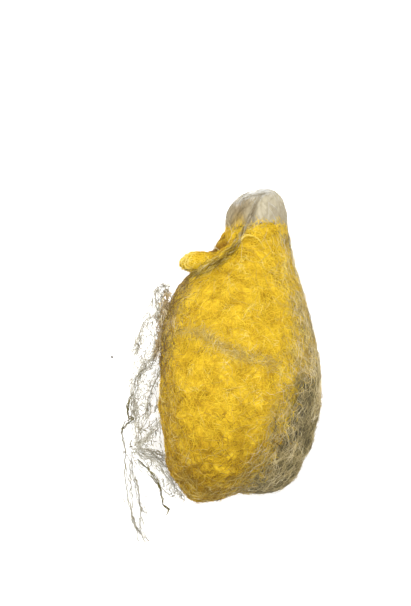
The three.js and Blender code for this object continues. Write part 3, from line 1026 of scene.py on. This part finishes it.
class COCOON_OT_veil_strands(bpy.types.Operator):
    """Lay the thin beige fibres that veil parts of the yellow body"""

    bl_idname = "cocoon.veil_strands"
    bl_label = "Veil strands"

    def execute(self, context):
        width = context.scene.silk_cocoon.strands.floss_width
        on = skin()
        points = on.points
        haze = silk_zones(points, on.normals)[0]
        band = near(points, WAIST_BAND, 1.2)
        tone = 0.62 + (0.35 - 0.2 * band) * cloud(points, 2.0, 4) + 0.04 * band
        film = near(points, FILM_EDGE, 1.5) * ramp(on.normals[:, 2], -0.5, 0.1)
        cover = np.where(on.on_floss, 0, haze - 0.8 * film + 0.02)
        strands("veil_strands", "grey_floss", VEIL_SHADES, cover, tone, width)
        tone = 0.6 * cloud(points, 1.1, 8) + 0.9 * near(points, FILM_GLINT, 0.4) - 0.04
        strands("film_strands", "grey_floss", FILM_SHADES, np.where(on.on_floss, 0, film), tone, width)
        return {"FINISHED"}


class COCOON_OT_floss_strands(bpy.types.Operator):
    """Lay the beige and olive fibres of the outer floss"""

    bl_idname = "cocoon.floss_strands"
    bl_label = "Floss strands"

    def execute(self, context):
        width = context.scene.silk_cocoon.strands.floss_width
        on = skin()
        points = on.points
        clear = ramp(points[:, 2], *FLOSS_CLEAR) * (1 - ramp(points[:, 1], *FLOSS_END))
        fringe = falling(on.to_floss, 2.4) * (0.75 - 0.55 * ramp(points[:, 1], *FRINGE_END))
        spot = near_spots(points, GREY_SPOTS, 0.75)
        fringe = np.maximum(np.maximum(fringe, 0.95 * near(points, RIGHT_EDGE, 1.4)), spot)
        cover = np.where(on.on_floss, 1.0, fringe) * clear
        gaps = ramp(cloud(points, 1.1, 12), 0.02, 0.35)
        cover *= (1 - 0.7 * near_spots(points, DARK_BLOBS, 0.6)) * (1 - 0.5 * gaps)
        tone = 0.47 + 0.35 * cloud(points, 2.4, 2) + 0.35 * cloud(points, 0.9, 6)
        tone += 0.2 * ramp(points[:, 1], *FLOSS_PAINTED_LIGHT) + 0.22 * near(points, RIGHT_VEIL, 1.6)
        tone -= 0.2 * near(points, RIGHT_EDGE, 1.2) + 0.5 * spot
        for layer, lighter, spread, tone_spread in (("deep", -0.12, 1.0, 0.2), ("fine", 0.14, 1.4, 0.28)):
            strands(f"floss_strands_{layer}", "grey_floss", FLOSS_SHADES, cover, tone + lighter, width,
                    spread, tone_spread=tone_spread)
        return {"FINISHED"}


class COCOON_OT_pouch_strands(bpy.types.Operator):
    """Lay the fine fibres on the pouch"""

    bl_idname = "cocoon.pouch_strands"
    bl_label = "Pouch strands"

    def execute(self, context):
        width = context.scene.silk_cocoon.strands.floss_width
        on = skin()
        points = on.points
        cover = np.where(on.on_floss, ramp(points[:, 1], *POUCH_FIBRES), 0)
        tone = 0.62 + summed(points, POUCH_LIGHT)
        strands("pouch_strands", "grey_floss", POUCH_SHADES, cover, tone, width, 0.9)
        seam = falling(on.to_silk, 0.5) * falling(on.to_floss, 0.7)
        seam *= ramp(points[:, 1], *SEAM_START) * (1 - near_spots(points, GREY_SPOTS, 0.7))
        seam *= 1 - 0.6 * near(points, POUCH_YELLOW, 0.9)
        for name, grain in (("seam_strands", (1, 0, 0)), ("seam_ends", (0, 1, 0))):
            strands(name, "yellow_silk", SILK_SHADES, seam, np.full(len(seam), 0.55), width, 1.1, grain)
        return {"FINISHED"}


# ---------------------------------------------------------------- the net


def thread_graph(name, runs, tones, weights=None):
    """An object of loose edges: each run is a list of points, with one tone and weight for the whole run."""
    corners, edges, tone, weight = [], [], [], []
    for run, lightness, thickness in zip(runs, tones, weights or [1.0] * len(runs)):
        start = len(corners)
        corners += run
        edges += [(start + i, start + i + 1) for i in range(len(run) - 1)]
        tone += [lightness] * len(run)
        weight += [thickness / 2] * len(run)
    mesh = bpy.data.meshes.new(name)
    mesh.from_pydata(corners, edges, [])
    set_values(mesh, "tone", np.array(tone))
    set_values(mesh, "weight", np.array(weight))
    return new_object(name, mesh)


def spin(name, slot, palette, runs, tones, thickness, kind, weights=None, nodes=()):
    """Runs of points as one plain mesh of threads of a kind."""
    piece = thread_graph(name, runs, tones, weights)
    step, jitter, jitter_size, tone_spread, seed = kind
    sizes = {"Thickness": thickness, "Step": step * MM, "Jitter": jitter * MM,
             "Jitter Size": jitter_size * MM, "Tone Spread": tone_spread, "Seed": seed}
    grow(piece, shared_tree("loose threads", thread_tree), {**sizes, **shades(palette)})
    finished(piece, slot, *nodes)


def curved(points, steps=6):
    """A smooth run through points, with steps between each two."""
    ends = [points[0] * 2 - points[1], *points, points[-1] * 2 - points[-2]]
    run = []
    for a, b, c, d in zip(ends, ends[1:], ends[2:], ends[3:]):
        for step in range(steps):
            t = step / steps
            run.append(0.5 * ((2 * b) + (c - a) * t + (2 * a - 5 * b + 4 * c - d) * t * t
                              + (3 * b - a - 3 * c + d) * t * t * t))
    return [*run, points[-1]]


class NetForm:
    """The solid that the net fills, seen from above."""

    EDGE_DEPTH = 2 * MM

    def __init__(self):
        self.surface = node_surface(NET_NODE)

    def at(self, x, y, share):
        """The point at a share of the solid's height over (x, y) in metres, or level with it beside it."""
        up = self.surface.ray_cast(Vector((x, y, UNDER_ALL)), Vector((0, 0, 1)))[0]
        down = self.surface.ray_cast(Vector((x, y, OVER_ALL)), Vector((0, 0, -1)))[0]
        if up is None:
            height = self.surface.find_nearest(Vector((x, y, NET_MIDDLE)))[0].z
            return Vector((x, y, height + (share - 0.5) * self.EDGE_DEPTH))
        return up.lerp(down, share)


def inside(place, outline):
    """Whether a place is inside an outline."""
    crossings = 0
    for (x1, y1), (x2, y2) in zip(outline, outline[1:] + outline[:1]):
        if (y1 > place.y) != (y2 > place.y) and place.x < x1 + (place.y - y1) * (x2 - x1) / (y2 - y1):
            crossings += 1
    return crossings % 2 == 1


def net_cells(cell, seed):
    """The borders of uneven, upright cells that fill the net's outline: pairs of points in metres."""
    chance = random.Random(seed)
    (left, low), (right, high) = CELL_BOX
    across, upwards = CELL_SQUEEZE
    spots = []
    for _ in range(CELL_TRIES):
        place = Vector((chance.uniform(left, right), chance.uniform(low, high)))
        size = cell / MM * chance.uniform(*CELL_SIZES)
        if inside(place, NET_OUTLINE):
            drawn = Vector((place.x * across, place.y * upwards))
            if all((drawn - other).length > size for other in spots):
                spots.append(drawn)
    corners, _, faces, *_ = geometry.delaunay_2d_cdt(spots, [], [], 0, 1e-5)
    middles, sides = [], {}
    for number, face in enumerate(faces):
        middle = sum((corners[i] for i in face), Vector((0, 0))) / 3
        middles.append(Vector((middle.x / across, middle.y / upwards)) * MM)
        for i, j in zip(face, face[1:] + face[:1]):
            sides.setdefault(frozenset((i, j)), []).append(number)
    return [(middles[a], middles[b]) for a, b in (s for s in sides.values() if len(s) == 2)]


def on_path(path, chance):
    """A place somewhere on a path, and the way from the path's point before it to the next one."""
    share = chance.random() * (len(path) - 1)
    (x1, y1), (x2, y2) = path[int(share)], path[int(share) + 1]
    return Vector((x1, y1)).lerp(Vector((x2, y2)), share % 1), Vector((x2 - x1, y2 - y1))


def stray(chance, across, upwards):
    """A random step of a spread across and upwards, in millimetres."""
    return Vector((chance.gauss(0, across), chance.gauss(0, upwards)))


def cell_threads(form, net, chance):
    """The net's layers of cells, and over them layers of small ones that tangle its strands."""
    layers = net.layers + TANGLE_LAYERS
    for layer in range(layers):
        tangled = layer >= net.layers
        level = (layer + 0.5) / layers
        for start, end in net_cells(net.cell * (0.5 if tangled else 0.8 + 0.3 * layer), 70 + layer):
            crowd = 0.55 * near(np.array([start / MM]), NET_TANGLE, 1.1)[0] if tangled else 0.7
            if chance.random() > crowd or (start - end).length > LONGEST_BORDER * net.cell:
                continue
            run = [form.at(p.x, p.y, level) for p in (start, end)]
            tone = chance.uniform(0.15, 1.0)
            yield run, tone, chance.choice((0.35, 0.5, 0.7, 1.0, 1.5)) * (0.75 if tangled else 1)


def faint_threads(form):
    """Thin single threads at the net's outer edge."""
    for path in FAINT_THREADS:
        yield curved([form.at(x * MM, y * MM, 0.5) for x, y in path]), 0.8, 0.5


def wisp_threads(form, chance):
    """Short threads that cling to the net's strands."""
    for _ in range(NET_WISPS):
        middle, way = on_path(chance.choice(PALE_THREADS * 2 + HANGING_THREADS), chance)
        middle += stray(chance, 0.4, 0.4)
        way = way.normalized() * chance.uniform(0.4, 1.8)
        way += stray(chance, 0.35, 0.35)
        level = chance.uniform(0.25, 0.75)
        run = [form.at(*((middle + way * step) * MM), level) for step in WISP]
        yield run, chance.uniform(0.15, 1.0), chance.uniform(0.3, 1.1)


class COCOON_OT_net(bpy.types.Operator):
    """Spin the net of loose threads on the left flank"""

    bl_idname = "cocoon.net"
    bl_label = "Net"

    def execute(self, context):
        net = context.scene.silk_cocoon.net
        form = NetForm()
        chance = random.Random(5)
        threads = [*cell_threads(form, net, chance), *faint_threads(form), *wisp_threads(form, chance)]
        runs, tones, weights = zip(*threads)
        spin("net_lace", "scaffold_silk", NET_SHADES, runs, tones, net.thread, LACE, weights, [NET_NODE])
        runs = []
        for _ in range(FILM_WISPS):
            middle = on_path(NET_FILM, chance)[0] + Vector((chance.gauss(0, 0.3), 0))
            way = stray(chance, 0.6, 1.0)
            height = chance.uniform(*FILM_HEIGHTS)
            runs.append([Vector((*(middle + way * step), height)) * MM for step in WISP])
        tones = [chance.uniform(0.15, 0.85) for _ in runs]
        spin("net_film", "scaffold_silk", FILM_SHADES, runs, tones, net.thread, LACE)
        return {"FINISHED"}


def bundle(form, path, count, width, chance):
    """Strands that follow parts of one path side by side and cross each other. width is in metres."""
    runs = []
    for _ in range(count):
        level = chance.uniform(0.35, 0.65)
        first = chance.choice((0, 0, 1)) if len(path) > 4 else 0
        last = len(path) - (chance.choice((0, 0, 1)) if len(path) > 4 else 0)
        points = []
        for x, y in path[first:last]:
            away = Vector((chance.gauss(0, 1), chance.gauss(0, 1), chance.gauss(0, 1))) * width
            points.append(form.at(x * MM, y * MM, level) + away)
        runs.append(curved(points))
    return runs


class COCOON_OT_net_strands(bpy.types.Operator):
    """Spin the main strands of the net, pale and olive"""

    bl_idname = "cocoon.net_strands"
    bl_label = "Net strands"

    def execute(self, context):
        net = context.scene.silk_cocoon.net
        form = NetForm()
        chance = random.Random(8)
        for name, paths, palette, count, width, size, low, high in (
            ("net_strands", PALE_THREADS, NET_SHADES, 9, 0.28 * MM, 0.44, 0.1, 0.9),
            ("net_hanging", HANGING_THREADS, NET_SHADES, 5, 0.18 * MM, 0.42, 0.0, 0.4),
            ("net_twigs", OLIVE_THREADS, TWIG_SHADES, 4, 0.09 * MM, 0.9, 0.1, 0.8),
        ):
            runs = [run for path in paths for run in bundle(form, path, count, width, chance)]
            tones = [chance.uniform(low, high) for _ in runs]
            spin(name, "scaffold_silk", palette, runs, tones, net.strand * size, MAIN_STRANDS)
        return {"FINISHED"}


def laid_runs(path, count, drift_width, first_steps, chance):
    """Runs along parts of a path on the skin, side by side and crossing."""
    runs = []
    for _ in range(count):
        first = chance.randint(*first_steps)
        last = chance.randint(min(first + 3, len(path)), len(path))
        drift, wander = chance.gauss(0, drift_width), chance.uniform(0, math.tau)
        points = []
        for step, (x, y) in enumerate(path[first:last]):
            aside = drift + drift_width * math.sin(wander + FOLD_TURN * step)
            place = skin().top(x + aside * ACROSS_FOLD[0], y + aside * ACROSS_FOLD[1])
            points.append(place + Vector((0, 0, chance.uniform(0.05, 0.4) * MM)))
        runs.append(curved(points, 5))
    return runs


class COCOON_OT_fold_strands(bpy.types.Operator):
    """Lay the twisted strands in the fold, on the pouch's crease and along its rim"""

    bl_idname = "cocoon.fold_strands"
    bl_label = "Fold strands"

    def execute(self, context):
        width = context.scene.silk_cocoon.strands.floss_width
        chance = random.Random(15)
        for name, slot, path, palette, count, spread, steps, low, high in (
            ("fold_strands", "grey_floss", FOLD_LINE[2:], FOLD_SHADES, 90, 0.36, (0, 5), 0.0, 0.9),
            ("arc_strands", "yellow_silk", ARC, SILK_SHADES, 16, 0.16, (0, 1), 0.7, 1.0),
            ("crease_strands", "grey_floss", FOLD_LINE[:5], POUCH_SHADES, 16, 0.12, (0, 1), 0.0, 0.7),
            ("rim_strands", "grey_floss", POUCH_RIM, POUCH_SHADES, 24, 0.16, (0, 2), 0.7, 1.0),
        ):
            runs = laid_runs(path, count, spread, steps, chance)
            tones = [chance.uniform(low, high) for _ in runs]
            spin(name, slot, palette, runs, tones, width * 0.85, FOLDED_STRANDS)
        return {"FINISHED"}


class COCOON_OT_crumbs(bpy.types.Operator):
    """Catch the dark crumbs in the net"""

    bl_idname = "cocoon.crumbs"
    bl_label = "Crumbs"

    def execute(self, context):
        form = NetForm()
        shape = bmesh.new()
        for number, crumb in enumerate(CRUMBS):
            x, y = crumb["at"]
            middle = form.at(x * MM, y * MM, 0.5)
            made = bmesh.ops.create_icosphere(shape, subdivisions=3, radius=crumb["size"] * MM / 2)
            for vertex in made["verts"]:
                away = Vector((number * 7, 0, 0))
                swell = 1 + 0.9 * noise.noise(vertex.co / (crumb["size"] * 0.4 * MM) + away)
                flat = Vector((vertex.co.x, vertex.co.y * CRUMB_FLATNESS, vertex.co.z * CRUMB_FLATNESS))
                vertex.co = middle + flat * swell
        mesh = bpy.data.meshes.new("net_crumbs")
        shape.to_mesh(mesh)
        shape.free()
        mesh.materials.append(crumb_finish())
        mesh.shade_smooth()
        finished(new_object("net_crumbs", mesh), "scaffold_silk")
        return {"FINISHED"}


# ---------------------------------------------------------------- the studio

# The render's pixels, the cocoon's length in it in pixels and in millimetres, and the place in its middle.
PICTURE = (411, 606)
LENGTH_PX = 313
LENGTH_MM = 45
PICTURE_SCALE = LENGTH_MM / LENGTH_PX * MM
PICTURE_CENTRE = (-3.96 * MM, 10.2 * MM)
SENSOR = 36
FLOOR_SIDE = 0.6

# The lamps: their place, what they look at, their width and their share of the main lamp's power.
LAMPS = {
    "key": ((-0.05, 0.16, 0.37), (0, 0, 0.008), 0.22, 1),
    "right": ((0.25, -0.10, 0.30), (0, 0, 0.008), 0.30, 0.36),
    "left": ((-0.34, 0.02, 0.12), (-0.01, 0, 0.008), 0.20, 0.2),
}


def lamp(name, place, target, size, power):
    """A round soft lamp that looks at a target."""
    light = bpy.data.lights.new(name, "AREA")
    light.shape = "DISK"
    light.size = size
    light.energy = power
    holder = new_object(name, light)
    holder.location = place
    holder.rotation_euler = (Vector(target) - Vector(place)).to_track_quat("-Z", "Y").to_euler()


class COCOON_OT_studio(bpy.types.Operator):
    """Set up the pale floor, the soft lamps and the camera above"""

    bl_idname = "cocoon.studio"
    bl_label = "Studio"

    def execute(self, context):
        studio = context.scene.silk_cocoon.studio
        mesh = bpy.data.meshes.new("floor")
        corners = [(x * FLOOR_SIDE, y * FLOOR_SIDE, 0) for x, y in ((-1, -1), (1, -1), (1, 1), (-1, 1))]
        mesh.from_pydata(corners, [], [(0, 1, 2, 3)])
        ground = new_material("floor", studio.floor_colour, 0.9)
        shader = ground.node_tree.nodes["Principled BSDF"]
        shader.inputs["Emission Color"].default_value = (1, 1, 1, 1)
        shader.inputs["Emission Strength"].default_value = studio.floor_glow
        mesh.materials.append(ground)
        new_object("floor", mesh)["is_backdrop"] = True

        for name, (place, target, size, share) in LAMPS.items():
            lamp(name, place, target, size, studio.key_power * share)
        world = bpy.data.worlds.new("studio")
        world.use_nodes = True
        world.node_tree.nodes["Background"].inputs["Color"].default_value = (1, 1, 1, 1)
        world.node_tree.nodes["Background"].inputs["Strength"].default_value = studio.fill
        context.scene.world = world
        context.scene.view_settings.view_transform = "Standard"

        data = bpy.data.cameras.new("camera")
        data.sensor_width = SENSOR
        data.lens = SENSOR * studio.distance / (PICTURE[1] * PICTURE_SCALE)
        data.clip_start = 0.01
        data.clip_end = 10
        camera = new_object("camera", data)
        camera.location = (*PICTURE_CENTRE, BODY_MIDDLE + studio.distance)
        context.scene.camera = camera
        return {"FINISHED"}


class COCOON_PT_panel(bpy.types.Panel):
    """Lists what can be made"""

    bl_idname = "COCOON_PT_panel"
    bl_label = "Silk Cocoon"
    bl_space_type = "VIEW_3D"
    bl_region_type = "UI"
    bl_category = "Cocoon"

    def draw(self, context):
        settings = context.scene.silk_cocoon
        for group in (settings.felt, settings.strands, settings.net, settings.studio):
            box = self.layout.box()
            for title in group.__annotations__:
                box.prop(group, title)
        for operator in OPERATORS:
            self.layout.operator(operator.bl_idname)


OPERATORS = (
    COCOON_OT_silk_felt,
    COCOON_OT_floss_felt,
    COCOON_OT_silk_strands,
    COCOON_OT_veil_strands,
    COCOON_OT_floss_strands,
    COCOON_OT_pouch_strands,
    COCOON_OT_fold_strands,
    COCOON_OT_net,
    COCOON_OT_net_strands,
    COCOON_OT_crumbs,
    COCOON_OT_studio,
)
SETTINGS = (FeltSettings, StrandSettings, NetSettings, StudioSettings, CocoonSettings)


def register():
    for one in (*SETTINGS, *OPERATORS, COCOON_PT_panel):
        bpy.utils.register_class(one)
    bpy.types.Scene.silk_cocoon = PointerProperty(type=CocoonSettings)


def unregister():
    del bpy.types.Scene.silk_cocoon
    for one in reversed((*SETTINGS, *OPERATORS, COCOON_PT_panel)):
        bpy.utils.unregister_class(one)


def write_sizes():
    """Works out the corners of the CAD model and of the dressed one, in metres."""
    boxes = {"cad": CAD_BOX, "visual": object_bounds()}
    plain = {title: [[float(v) for v in corner] for corner in box] for title, box in boxes.items()}


def main():
    """Makes every piece in order."""
    register()
    for operator in OPERATORS:
        group, name = operator.bl_idname.split(".")
        getattr(getattr(bpy.ops, group), name)()
    write_sizes()


if __name__ == "__main__":
    main()
